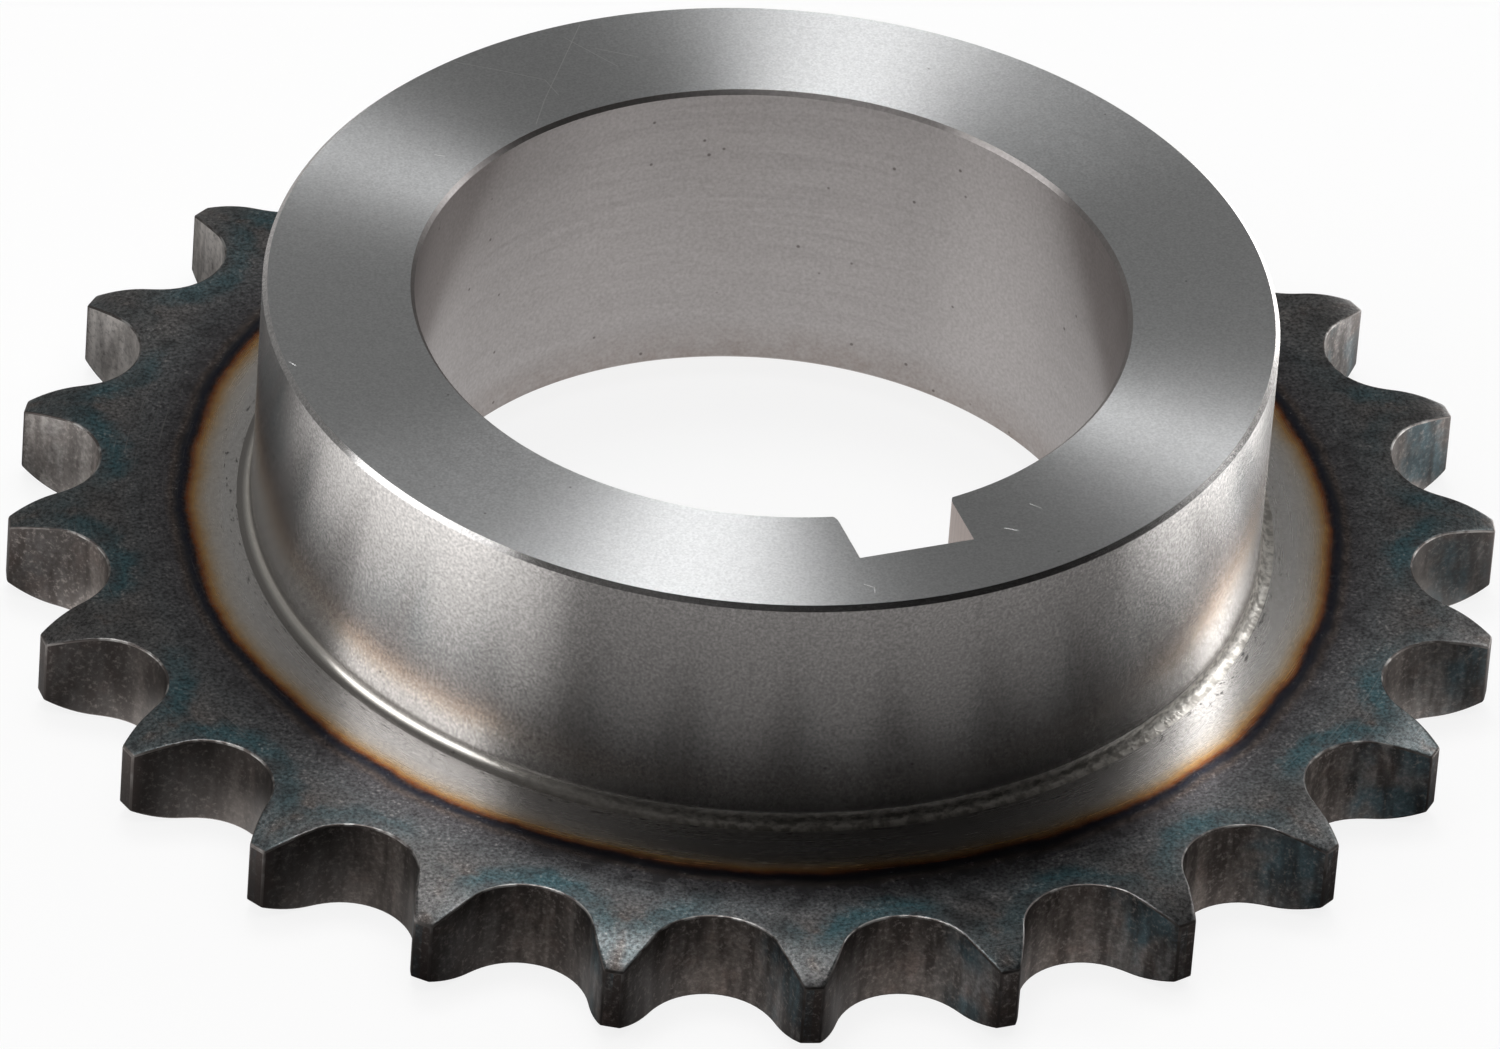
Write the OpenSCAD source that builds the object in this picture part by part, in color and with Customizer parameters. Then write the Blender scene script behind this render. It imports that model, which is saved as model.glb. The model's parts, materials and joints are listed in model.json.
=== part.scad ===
// Chain sprocket, turned and toothed from one blank: a toothed plate with a
// thick hub on its front face, a plain bore and one keyway.
// The bore axis is Z, z = 0 is the plate's back face, and the keyway is
// cut towards -Y, in line with the middle of a tooth.

/* [Chain] */
// Number of teeth
teeth = 24; // [22:1:40]
// Chain pitch, from one roller to the next
pitch = 15.875; // [14.5:0.005:19.05]
// Diameter of the chain's rollers
roller_d = 10.16; // [8.5:0.01:11]

/* [Teeth] */
// Radius of the roller seat at the bottom of a gap
seat_r = 5.75; // [5.1:0.05:6]
// Angle that the roller seat covers
seat_angle = 130; // [120:1:134]
// Radius of a tooth's flank, from the seat to the tip
flank_r = 20.5; // [16:0.5:40]
// Height of the tips above the pitch circle
tip_h = 2.4; // [1.5:0.1:3]
// Thickness of the toothed plate
plate_t = 8.25; // [6:0.05:12]
// How far the side relief narrows a tip, on each face
relief_depth = 1.25; // [0.5:0.05:2]
// Radius of the side relief's curve
relief_r = 12.5; // [8:0.5:18]

/* [Hub] */
// Diameter of the hub
hub_d = 85.5; // [76:0.5:100]
// Height from the plate's back face to the hub's face
total_h = 30.5; // [20:0.5:60]
// Chamfer on the hub's outer edge
hub_chamfer = 0.4; // [0.2:0.1:2]
// Fillet where the hub meets the plate
root_fillet = 1.2; // [0.4:0.1:3]

/* [Bore] */
// Diameter of the bore
bore_d = 60; // [40:0.5:64]
// Chamfer on both edges of the bore
bore_chamfer = 0.35; // [0.1:0.05:1]
// Width of the shallow recess round the bore, in the back face
recess_w = 7; // [4:0.5:10]
// Depth of that recess
recess_depth = 2.2; // [0.5:0.1:4]

/* [Keyway] */
// Width of the keyway
key_w = 10; // [6:0.5:18]
// Depth of the keyway below the bore's wall
key_depth = 5.8; // [2:0.1:7]

/* [Hidden] */
$fn = 180;
tooth_step = 360 / teeth;
pitch_r = pitch / (2 * sin(tooth_step / 2));
root_r = pitch_r - roller_d / 2;
tip_r = pitch_r + tip_h;
hub_r = hub_d / 2;
bore_r = bore_d / 2;
recess_r = bore_r + recess_w;
// How far a cutter runs past the faces that it cuts through
overrun = plate_t / 8;
// Radial width of the side relief, from its radius and its depth at the tip
relief_w = sqrt(relief_depth * (2 * relief_r - relief_depth));
relief_start = tip_r - relief_w;
// The seat's centre, and the centre of one flank's arc as seen from there
seat_x = root_r + seat_r;
flank_centre = (seat_r + flank_r) * [-cos(seat_angle / 2), sin(seat_angle / 2)];
mouth_x = tip_r + overrun - seat_x;

// Half section of the blank, less its curves: r along x, z along y
module straight_section() {
    polygon([
        [recess_r, 0],
        [tip_r, 0],
        [tip_r, plate_t],
        [hub_r, plate_t],
        [hub_r, total_h - hub_chamfer],
        [hub_r - hub_chamfer, total_h],
        [bore_r + bore_chamfer, total_h],
        [bore_r, total_h - bore_chamfer],
        [bore_r, recess_depth + bore_chamfer],
        [bore_r + bore_chamfer, recess_depth],
        [recess_r, recess_depth]
    ]);
}

// Quarter fillet that fills the corner between the hub and the plate
module fillet_section() {
    translate([hub_r, plate_t])
        difference() {
            square(root_fillet);
            translate([root_fillet, root_fillet]) circle(r = root_fillet);
        }
}

// What a form tool takes off the plate's front face, next to the tips
module relief_section() {
    translate([relief_start, plate_t])
        difference() {
            translate([0, -relief_r / 2]) square([relief_w + overrun, relief_r / 2 + overrun]);
            translate([0, -relief_r]) circle(r = relief_r);
        }
}

// The turned blank, before any tooth is cut
module blank() {
    rotate_extrude()
        difference() {
            union() {
                straight_section();
                fillet_section();
            }
            relief_section();
            translate([0, plate_t]) mirror([0, 1]) relief_section();
        }
}

// Outline of one gap between teeth, seen from the seat's centre with the
// tips towards +X: a round seat, then a flank that curves away on each side
module gap_outline() {
    circle(r = seat_r);
    difference() {
        polygon([
            [0, 0],
            flank_centre,
            [mouth_x, flank_centre.y],
            [mouth_x, -flank_centre.y],
            [flank_centre.x, -flank_centre.y]
        ]);
        translate(flank_centre) circle(r = flank_r);
        translate([flank_centre.x, -flank_centre.y]) circle(r = flank_r);
    }
}

module tooth_gaps() {
    for (i = [0 : teeth - 1])
        rotate((i + 0.5) * tooth_step - 90)
            translate([seat_x, 0, -overrun])
                linear_extrude(plate_t + 2 * overrun) gap_outline();
}

// Straight slot through the whole length of the bore, towards -Y
module keyway() {
    translate([-key_w / 2, -bore_r - key_depth, -overrun])
        cube([key_w, bore_r + key_depth, total_h + 2 * overrun]);
}

module sprocket() {
    color("#706e6d")
        difference() {
            blank();
            tooth_gaps();
            keyway();
        }
}

sprocket();
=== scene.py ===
# %% [markdown]
# # A chain sprocket, dressed
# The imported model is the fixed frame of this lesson. It holds one solid, the
# sprocket, at its real size and in its real place, so every measure that
# follows is read from it or named beside it. All lengths are in metres, and
# MM turns a drawing's millimetres into them.

# %% Load the frame
import json
from math import acos, asin, atan2, ceil, cos, degrees, hypot, pi, radians, sin, sqrt
import bmesh
import bpy
from mathutils import Matrix, Quaternion, Vector

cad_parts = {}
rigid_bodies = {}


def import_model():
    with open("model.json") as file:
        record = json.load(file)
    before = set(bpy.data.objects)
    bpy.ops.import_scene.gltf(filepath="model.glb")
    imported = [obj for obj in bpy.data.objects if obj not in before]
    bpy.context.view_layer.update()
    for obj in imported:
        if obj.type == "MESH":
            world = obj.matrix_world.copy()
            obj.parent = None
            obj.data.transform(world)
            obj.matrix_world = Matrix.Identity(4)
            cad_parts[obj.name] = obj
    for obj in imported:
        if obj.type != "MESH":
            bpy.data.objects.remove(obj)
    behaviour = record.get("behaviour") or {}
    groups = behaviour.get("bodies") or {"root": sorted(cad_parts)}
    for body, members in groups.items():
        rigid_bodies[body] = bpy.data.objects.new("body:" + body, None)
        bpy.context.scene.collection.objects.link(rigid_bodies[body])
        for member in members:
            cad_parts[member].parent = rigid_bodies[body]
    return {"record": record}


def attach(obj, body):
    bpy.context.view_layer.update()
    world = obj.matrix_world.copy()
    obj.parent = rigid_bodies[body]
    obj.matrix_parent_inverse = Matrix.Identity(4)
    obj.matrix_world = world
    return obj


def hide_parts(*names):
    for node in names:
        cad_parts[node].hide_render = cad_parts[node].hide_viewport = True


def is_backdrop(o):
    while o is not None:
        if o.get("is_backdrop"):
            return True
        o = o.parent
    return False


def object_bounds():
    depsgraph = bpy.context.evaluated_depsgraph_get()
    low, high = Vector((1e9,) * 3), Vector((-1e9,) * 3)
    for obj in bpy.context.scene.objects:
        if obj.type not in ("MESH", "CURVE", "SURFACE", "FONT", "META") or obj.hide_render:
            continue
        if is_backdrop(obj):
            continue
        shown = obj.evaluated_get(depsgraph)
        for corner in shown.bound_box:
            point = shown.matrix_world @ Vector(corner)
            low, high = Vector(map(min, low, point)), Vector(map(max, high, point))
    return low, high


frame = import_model()
cad_low, cad_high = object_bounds()
MM = 0.001
print("frame, mm:", [round((b - a) / MM, 2) for a, b in zip(cad_low, cad_high)])

# %% [markdown]
# A sprocket is drawn from its chain. The pitch and the roller of the chain
# give the pitch circle and the bottom of each gap, and the rest of the tooth
# is two arcs: a seat that the roller drops into and a flank that lets it roll
# out again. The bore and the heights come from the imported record.

# %% Sizes of the sprocket
mounts = {mount["name"]: mount for mount in frame["record"]["mounts"]}
TEETH = 24
PITCH = 15.875 * MM
ROLLER_D = 10.16 * MM
SEAT_R = 5.75 * MM
SEAT_HALF = radians(65)
FLANK_R = 20.5 * MM
PLATE_T = 8.25 * MM
RELIEF_DEPTH = 1.25 * MM
RELIEF_R = 12.5 * MM
HUB_R = 42.75 * MM
HUB_CHAMFER = 0.4 * MM
ROOT_FILLET = 1.2 * MM
BORE_CHAMFER = 0.35 * MM
RECESS_R = 37 * MM
RECESS_DEPTH = 2.2 * MM
KEY_W = 10 * MM
KEY_DEPTH = 5.8 * MM
KEY_LIP_R = 1.3 * MM
EDGE_BREAK = 0.16 * MM
SAME_POINT = 0.001 * MM
HALF_STEP = pi / TEETH
PITCH_R = PITCH / (2 * sin(HALF_STEP))
ROOT_R = PITCH_R - ROLLER_D / 2
TIP_R = cad_high.x
TOTAL_H = cad_high.z
BORE_R = mounts["bore"]["dims"]["r_mm"] * MM
SEAT_X = ROOT_R + SEAT_R
RELIEF_START = TIP_R - sqrt(RELIEF_DEPTH * (2 * RELIEF_R - RELIEF_DEPTH))
WEB_R = ROOT_R - 3 * MM
print(f"pitch circle {PITCH_R / MM:.2f} mm, root {ROOT_R / MM:.2f} mm, tip {TIP_R / MM:.2f} mm")

# %% [markdown]
# Everything is modelled in edit mode, the way it is done by hand. An operator
# acts on what is selected, so these helpers clear the selection, start a new
# object from a single point, and select points, edges or faces by their place.

# %% Helpers for editing


def clear_selection():
    if bpy.context.mode != "OBJECT":
        bpy.ops.object.mode_set(mode="OBJECT")
    bpy.ops.object.select_all(action="DESELECT")


def start_from_point(name, place):
    """A new object in edit mode that holds one selected point."""
    clear_selection()
    bpy.ops.mesh.primitive_plane_add(size=MM, location=place)
    thing = bpy.context.object
    thing.name = name
    bpy.ops.object.transform_apply(location=True, rotation=True, scale=True)
    bpy.ops.object.mode_set(mode="EDIT")
    bpy.ops.mesh.select_mode(type="VERT")
    bpy.ops.mesh.select_all(action="SELECT")
    bpy.ops.mesh.merge(type="CENTER")
    return thing


def pick(thing, kind, test):
    """Select the points, edges or faces that the test holds for, and return how many."""
    bpy.ops.mesh.select_mode(type={"verts": "VERT", "edges": "EDGE", "faces": "FACE"}[kind])
    bpy.ops.mesh.select_all(action="DESELECT")
    mesh = bmesh.from_edit_mesh(thing.data)
    found = [part for part in getattr(mesh, kind) if test(part)]
    for part in found:
        part.select_set(True)
    mesh.select_flush_mode()
    bmesh.update_edit_mesh(thing.data)
    return len(found)


def radius(place):
    return hypot(place.x, place.y)


def turn_about(centre, angle, steps):
    """Draw an arc from the selected point, anticlockwise about an upright axis. Spin counts the other way."""
    bpy.ops.mesh.spin(steps=steps, angle=-angle, center=centre, axis=(0, 0, 1), dupli=False)


# %% [markdown]
# One gap between two teeth is three arcs. The point starts at the bottom of
# the gap, turns about the seat's centre, then about the flank's centre until
# it reaches the tip circle, then along the tip circle to the middle of the
# tooth. Half a gap is enough, because symmetrize gives the other half.

# %% Draw half a gap
SEAT_STEPS, FLANK_STEPS, LAND_STEPS = 10, 8, 2
seat_centre = Vector((SEAT_X, 0, 0))
flank_centre = seat_centre + (SEAT_R + FLANK_R) * Vector((-cos(SEAT_HALF), sin(SEAT_HALF), 0))
centre_r = radius(flank_centre)
centre_turn = atan2(flank_centre.y, flank_centre.x)
# The cosine rule gives the angle at the axis between the flank's centre and its end
end_turn = acos((centre_r ** 2 + TIP_R ** 2 - FLANK_R ** 2) / (2 * centre_r * TIP_R))
flank_end = TIP_R * Vector((cos(centre_turn - end_turn), sin(centre_turn - end_turn), 0))
flank_from = atan2(-sin(SEAT_HALF), cos(SEAT_HALF))
flank_to = atan2(flank_end.y - flank_centre.y, flank_end.x - flank_centre.x)
land_turn = HALF_STEP - atan2(flank_end.y, flank_end.x)

sprocket = start_from_point("toothed_wheel", (ROOT_R, 0, 0))
turn_about(seat_centre, -SEAT_HALF, SEAT_STEPS)
turn_about(flank_centre, flank_to - flank_from, FLANK_STEPS)
turn_about((0, 0, 0), land_turn, LAND_STEPS)
ends = [v.co.copy() for v in bmesh.from_edit_mesh(sprocket.data).verts]
print(f"half a gap: {len(ends)} points, ends {max(radius(p) for p in ends) / MM:.3f} mm out,",
      f"turned {degrees(max(atan2(p.y, p.x) for p in ends)):.3f} degrees")

# %% [markdown]
# The outline of the whole wheel is that gap, mirrored and then copied round
# the axis by spin with dupli on. The first and last copies meet, so doubles
# are merged. Half a step of turn puts a tooth, and not a gap, over the keyway.

# %% Outline of all the teeth
bpy.ops.mesh.select_all(action="SELECT")
bpy.ops.mesh.symmetrize(direction="POSITIVE_Y", threshold=SAME_POINT)
bpy.ops.mesh.select_all(action="SELECT")
bpy.ops.mesh.spin(steps=TEETH, angle=2 * pi, center=(0, 0, 0), axis=(0, 0, 1), dupli=True)
bpy.ops.mesh.select_all(action="SELECT")
bpy.ops.mesh.remove_doubles(threshold=SAME_POINT)
bpy.ops.object.mode_set(mode="OBJECT")
sprocket.rotation_euler.z = HALF_STEP
bpy.ops.object.transform_apply(location=False, rotation=True, scale=False)
outline_count = len(sprocket.data.vertices)
print("outline:", outline_count, "points and", len(sprocket.data.edges), "edges")

# %% [markdown]
# The body is pulled out of the outline as a lathe would see it: ring after
# ring, each extruded from the last one and brought to its own radius and
# height. The first ring in from the teeth is made round by tosphere, which
# moves each point straight towards the axis. The front and the back are two
# such walks, and they meet where their last rings are the same.

# %% Rings from the teeth to the bore
FILLET_STEPS = 8


def selected_place(thing):
    return next(v.co.copy() for v in bmesh.from_edit_mesh(thing.data).verts if v.select)


def ring(thing, to_radius, height, make_round=False):
    """Extrude the selected ring, and bring the new one to a radius and a height."""
    here = selected_place(thing)
    bpy.ops.mesh.extrude_region_move(TRANSFORM_OT_translate={"value": (0, 0, height - here.z)})
    if make_round:
        bpy.ops.transform.tosphere(value=1)
    share = to_radius / radius(selected_place(thing))
    bpy.ops.transform.resize(value=(share, share, 1), center_override=(0, 0, height))


clear_selection()
sprocket.select_set(True)
bpy.context.view_layer.objects.active = sprocket
bpy.ops.object.mode_set(mode="EDIT")
bpy.ops.mesh.select_all(action="SELECT")
ring(sprocket, WEB_R, 0, make_round=True)
for back_radius, back_height in (
    (RECESS_R, 0),
    (RECESS_R, RECESS_DEPTH),
    (BORE_R + BORE_CHAMFER, RECESS_DEPTH),
    (BORE_R, RECESS_DEPTH + BORE_CHAMFER),
    (BORE_R, TOTAL_H - BORE_CHAMFER),
    (BORE_R + BORE_CHAMFER, TOTAL_H),
    (HUB_R - HUB_CHAMFER, TOTAL_H),
    (HUB_R, TOTAL_H - HUB_CHAMFER),
):
    ring(sprocket, back_radius, back_height)
for step in range(FILLET_STEPS + 1):
    turn = step / FILLET_STEPS * pi / 2
    ring(sprocket, HUB_R + ROOT_FILLET * (1 - cos(turn)), PLATE_T + ROOT_FILLET * (1 - sin(turn)))
ring(sprocket, WEB_R, PLATE_T)


def on_outline(point, height):
    return abs(point.co.z - height) < SAME_POINT and radius(point.co) > ROOT_R - SAME_POINT


pick(sprocket, "verts", lambda v: on_outline(v, 0))
bpy.ops.mesh.extrude_region_move(TRANSFORM_OT_translate={"value": (0, 0, PLATE_T)})
ring(sprocket, WEB_R, PLATE_T, make_round=True)
bpy.ops.mesh.select_all(action="SELECT")
bpy.ops.mesh.remove_doubles(threshold=SAME_POINT)
bpy.ops.mesh.select_all(action="SELECT")
bpy.ops.mesh.normals_make_consistent(inside=False)
shell = bmesh.from_edit_mesh(sprocket.data)
open_edges = sum(not edge.is_manifold for edge in shell.edges)
print("body:", len(shell.faces), "faces,", open_edges, "open edges,", f"{shell.calc_volume() / MM ** 3:.0f} mm3")

# %% [markdown]
# A chain comes down on the teeth from the side too, so their faces curve in
# towards the tips. That side relief is a turned curve. The faces get enough
# rings to bend, each point gets a weight from the curve's formula, and a
# Displace modifier presses the points in by that weight.

# %% Side relief
WEB_CUTS = 12


def is_web_spoke(edge):
    a, b = sorted(edge.verts, key=lambda v: radius(v.co))
    level = abs(a.co.z - b.co.z) < SAME_POINT
    return level and abs(radius(a.co) - WEB_R) < SAME_POINT and radius(b.co) > ROOT_R - SAME_POINT


spokes = pick(sprocket, "edges", is_web_spoke)
bpy.ops.mesh.subdivide(number_cuts=WEB_CUTS)
bpy.ops.object.mode_set(mode="OBJECT")
print("spokes between the web and the teeth:", spokes)


def relief_drop(place):
    past = max(0, radius(place) - RELIEF_START)
    return RELIEF_R - sqrt(RELIEF_R ** 2 - past ** 2)


def press_relief(thing, height, push):
    """Press the face at a height in by the relief's curve."""
    group = thing.vertex_groups.new(name="relief")
    for vertex in thing.data.vertices:
        if abs(vertex.co.z - height) < SAME_POINT and radius(vertex.co) > RELIEF_START:
            group.add([vertex.index], min(1, relief_drop(vertex.co) / RELIEF_DEPTH), "REPLACE")
    press = thing.modifiers.new("relief", "DISPLACE")
    press.direction = "Z"
    press.mid_level = 0
    press.strength = push
    press.vertex_group = group.name
    bpy.ops.object.modifier_apply(modifier=press.name)
    thing.vertex_groups.remove(thing.vertex_groups["relief"])


press_relief(sprocket, PLATE_T, -RELIEF_DEPTH)
press_relief(sprocket, 0, RELIEF_DEPTH)
tips = [v.co.z for v in sprocket.data.vertices if radius(v.co) > TIP_R - SAME_POINT]
print(f"a tip is {(max(tips) - min(tips)) / MM:.2f} mm thick")

# %% [markdown]
# No cut edge is perfectly sharp. A narrow bevel on every edge of the teeth
# catches the light as the thin bright line that real edges show.

# %% Break the edges of the teeth
SHARP = radians(30)
FINISHES = ("turned", "faced", "bored", "broached", "plate", "teeth", "edge")
for finish in FINISHES:
    sprocket.data.materials.append(bpy.data.materials.new(finish))


def is_tooth_edge(edge):
    outside = all(radius(v.co) > ROOT_R - SAME_POINT for v in edge.verts)
    return outside and len(edge.link_faces) == 2 and edge.calc_face_angle(0) > SHARP


bpy.ops.object.mode_set(mode="EDIT")
broken = pick(sprocket, "edges", is_tooth_edge)
bpy.ops.mesh.bevel(offset=EDGE_BREAK, segments=2, affect="EDGES", clamp_overlap=True, material=FINISHES.index("edge"))
bpy.ops.object.mode_set(mode="OBJECT")
print("edges broken:", broken)

# %% [markdown]
# The keyway is broached through the bore after turning, so here too it is cut
# from the finished body. The cutter's outline has square corners at the floor
# and flares out round a small lip on each side of the mouth, since the edge
# between the bore and the keyway is rounded on the real part.

# %% Cut the keyway
LIP_STEPS = 6
CUTTER_PAST = 2 * MM
half_key = KEY_W / 2
floor_y = -(BORE_R + KEY_DEPTH)
lip_x = half_key + KEY_LIP_R
lip_y = -sqrt((BORE_R + KEY_LIP_R) ** 2 - lip_x ** 2)
lip_turn = atan2(-lip_y, -lip_x) - pi
mouth_y = -(BORE_R - 3 * CUTTER_PAST)


def draw_to(thing, x, y):
    """Extrude the selected point to a place in the plane."""
    here = selected_place(thing)
    bpy.ops.mesh.extrude_region_move(TRANSFORM_OT_translate={"value": (x - here.x, y - here.y, 0)})


cutter = start_from_point("keyway_cutter", (0, floor_y, TOTAL_H + CUTTER_PAST))
draw_to(cutter, half_key, floor_y)
draw_to(cutter, half_key, lip_y)
turn_about((lip_x, lip_y, TOTAL_H + CUTTER_PAST), lip_turn, LIP_STEPS)
draw_to(cutter, selected_place(cutter).x, mouth_y)
draw_to(cutter, 0, mouth_y)
bpy.ops.mesh.select_all(action="SELECT")
bpy.ops.mesh.symmetrize(direction="POSITIVE_X", threshold=SAME_POINT)
bpy.ops.mesh.select_all(action="SELECT")
bpy.ops.mesh.edge_face_add()
bpy.ops.mesh.extrude_region_move(TRANSFORM_OT_translate={"value": (0, 0, -TOTAL_H - 2 * CUTTER_PAST)})
bpy.ops.mesh.select_all(action="SELECT")
bpy.ops.mesh.remove_doubles(threshold=SAME_POINT)
bpy.ops.mesh.normals_make_consistent(inside=False)
clear_selection()
sprocket.select_set(True)
bpy.context.view_layer.objects.active = sprocket
cut = sprocket.modifiers.new("keyway", "BOOLEAN")
cut.operation = "DIFFERENCE"
cut.solver = "EXACT"
cut.object = cutter
bpy.ops.object.modifier_apply(modifier=cut.name)
bpy.data.objects.remove(cutter)
checked = bmesh.new()
checked.from_mesh(sprocket.data)
print("after the keyway:", len(checked.faces), "faces,", sum(not e.is_manifold for e in checked.edges),
      "open edges,", f"{checked.calc_volume() / MM ** 3:.0f} mm3")
checked.free()

# %% [markdown]
# Each surface was made by another tool, so each gets its own finish: a turned
# wall, a faced front, a bored hole, a broached slot, a plate that the hardening
# flame has coloured, and cut teeth. A face's place and the way that it looks
# say which tool made it.

# %% Give each face its finish
LEVEL = 0.7


def finish_of(face):
    place, out = face.center, face.normal
    far = radius(place)
    upright = abs(out.z) < LEVEL
    if face.material_index == FINISHES.index("edge"):
        return "edge"
    if far > ROOT_R - EDGE_BREAK and upright:
        return "teeth"
    if far > HUB_R + ROOT_FILLET or place.z < SAME_POINT:
        return "plate"
    if place.z > TOTAL_H - SAME_POINT:
        return "faced"
    if upright and far < RECESS_R - SAME_POINT and far > BORE_R + SAME_POINT and abs(place.x) < lip_x:
        return "broached"
    if far > HUB_R - HUB_CHAMFER - SAME_POINT:
        return "turned"
    return "bored"


for face in sprocket.data.polygons:
    face.material_index = FINISHES.index(finish_of(face))
bpy.ops.object.shade_smooth_by_angle(angle=SHARP)
areas = {finish: 0 for finish in FINISHES}
for face in sprocket.data.polygons:
    areas[FINISHES[face.material_index]] += face.area
print("cm2 of each finish:", {name: round(area * 1e4, 1) for name, area in areas.items()})

# %% [markdown]
# Every finish is built from nodes. One function adds a node, sets it and links
# it. Another gives the places that all the patterns are drawn on: a point's
# distance from the bore's axis, its height, and its direction from the axis,
# all from Object coordinates and in millimetres.

# %% Helpers for materials


def colour(hex_code, share=1.0):
    """An sRGB hex colour as the linear colour that Blender works in."""
    parts = [int(hex_code[i:i + 2], 16) / 255 for i in (1, 3, 5)]
    linear = [c / 12.92 if c <= 0.04045 else ((c + 0.055) / 1.055) ** 2.4 for c in parts]
    return (*(c * share for c in linear), 1.0)


def node(tree, kind, inputs=(), stops=(), **settings):
    """Add a node with its settings and links, and give back its first output."""
    made = tree.nodes.new("ShaderNode" + kind)
    for name, value in settings.items():
        setattr(made, name, value)
    for number, (place, value) in enumerate(stops):
        ramp = made.color_ramp
        stop = ramp.elements[number] if number < len(ramp.elements) else ramp.elements.new(place)
        stop.position = place
        stop.color = value if len(value) == 4 else (*value, 1.0)
    free = [socket for socket in made.inputs if socket.enabled]
    pairs = inputs.items() if isinstance(inputs, dict) else enumerate(inputs)
    for key, value in pairs:
        socket = free[key] if isinstance(key, int) else next(s for s in free if s.name == key)
        if isinstance(value, bpy.types.NodeSocket):
            tree.links.new(value, socket)
        elif value is not None:
            socket.default_value = value
    return next((socket for socket in made.outputs if socket.enabled), None)


def start_material(finish, name):
    """Empty the finish's material, and give back its tree and its places in millimetres."""
    material = sprocket.data.materials[FINISHES.index(finish)]
    material.name = name
    material.use_nodes = True
    tree = material.node_tree
    tree.nodes.clear()
    spot = node(tree, "TexCoord").node.outputs["Object"]
    spot = node(tree, "VectorMath", [spot, (1 / MM, 1 / MM, 1 / MM)], operation="MULTIPLY")
    axes = node(tree, "SeparateXYZ", [spot]).node.outputs
    flat = node(tree, "CombineXYZ", [axes[0], axes[1], 0.0])
    far = node(tree, "VectorMath", [flat], operation="LENGTH").node.outputs["Value"]
    toward = node(tree, "VectorMath", [flat], operation="NORMALIZE")
    places = {"spot": spot, "x": axes[0], "y": axes[1], "height": axes[2], "far": far, "toward": toward}
    return tree, places


def finish_material(tree, shader):
    node(tree, "OutputMaterial", [shader])

# %% [markdown]
# Turned steel is bare metal with fine grooves that run round the axis. A
# groove spreads light across itself and hardly at all along itself, which is
# what draws the bright bow ties on a turned face. The shader's tangent is the
# direction in which it spreads light, so it points across the grooves: it is
# square to the surface and to the way round. That one rule serves the flat
# face, the wall and the fillet between them.

# %% The way light spreads on turned steel
ACROSS_GROOVES = 0.95
# Noise stays near one half. This is the part of 0 to 1 that it really fills
NOISE_SPAN = (0.3, 0.7)


def across_grooves(tree, places):
    around = node(tree, "VectorMath", [(0.0, 0.0, 1.0), places["toward"]], operation="CROSS_PRODUCT")
    out = node(tree, "NewGeometry").node.outputs["Normal"]
    return node(tree, "VectorMath", [around, out], operation="CROSS_PRODUCT")


def ring_noise(tree, places, across, width, length):
    """Noise drawn out along the grooves: width across them and length along them, in millimetres."""
    along = node(tree, "VectorMath", [places["toward"], HUB_R / MM / length], operation="SCALE")
    step = node(tree, "Math", [across, 1 / width], operation="MULTIPLY")
    lifted = node(tree, "CombineXYZ", [0.0, 0.0, step])
    spot = node(tree, "VectorMath", [along, lifted], operation="ADD")
    return node(tree, "TexNoise", {"Vector": spot, "Scale": 1.0, "Detail": 3.0, "Roughness": 0.6})


def marks_in(tree, places, apart, wide, share):
    """Small round marks: 1 in a mark and 0 off it. They are wide mm across, in a share of cells apart mm across."""
    cells = node(tree, "TexVoronoi", {"Vector": places["spot"], "Scale": 1 / apart}).node.outputs
    inside = node(tree, "MapRange", [cells["Distance"], 0.25 * wide / apart, 0.5 * wide / apart, 1.0, 0.0])
    draw = node(tree, "SeparateColor", [cells["Color"]])
    kept = node(tree, "Math", [draw, share], operation="LESS_THAN")
    return node(tree, "Math", [inside, kept], operation="MULTIPLY")


# %% [markdown]
# The hub's front was faced on the lathe. Its grooves are far finer than a
# pixel, so they show as spread light and a faint ringed grain. Handling has
# left a few hair scratches, dings near the edges, and nicks beside the keyway.

# %% Scratches
SCRATCH_WIDTH = 0.08


def scratches(tree, places, lines):
    """Hair scratches along broken lines of points in millimetres: 1 on a scratch and 0 off it."""
    flat = node(tree, "CombineXYZ", [places["x"], places["y"], 0.0])
    total = 0.0
    for line in lines:
        for (x0, y0), (x1, y1) in zip(line, line[1:]):
            long = hypot(x1 - x0, y1 - y0)
            way = ((x1 - x0) / long, (y1 - y0) / long, 0.0)
            from_end = node(tree, "VectorMath", [flat, (x0, y0, 0.0)], operation="SUBTRACT")
            along = node(tree, "VectorMath", [from_end, way], operation="DOT_PRODUCT").node.outputs["Value"]
            kept = node(tree, "Clamp", [along, 0.0, long])
            nearest = node(tree, "VectorMath", [way, kept], operation="SCALE")
            off = node(tree, "VectorMath", [from_end, nearest], operation="DISTANCE").node.outputs["Value"]
            drawn = node(tree, "MapRange", [off, 0.3 * SCRATCH_WIDTH, 0.7 * SCRATCH_WIDTH, 1.0, 0.0])
            total = node(tree, "Math", [total, drawn], operation="MAXIMUM")
    return total


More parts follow.
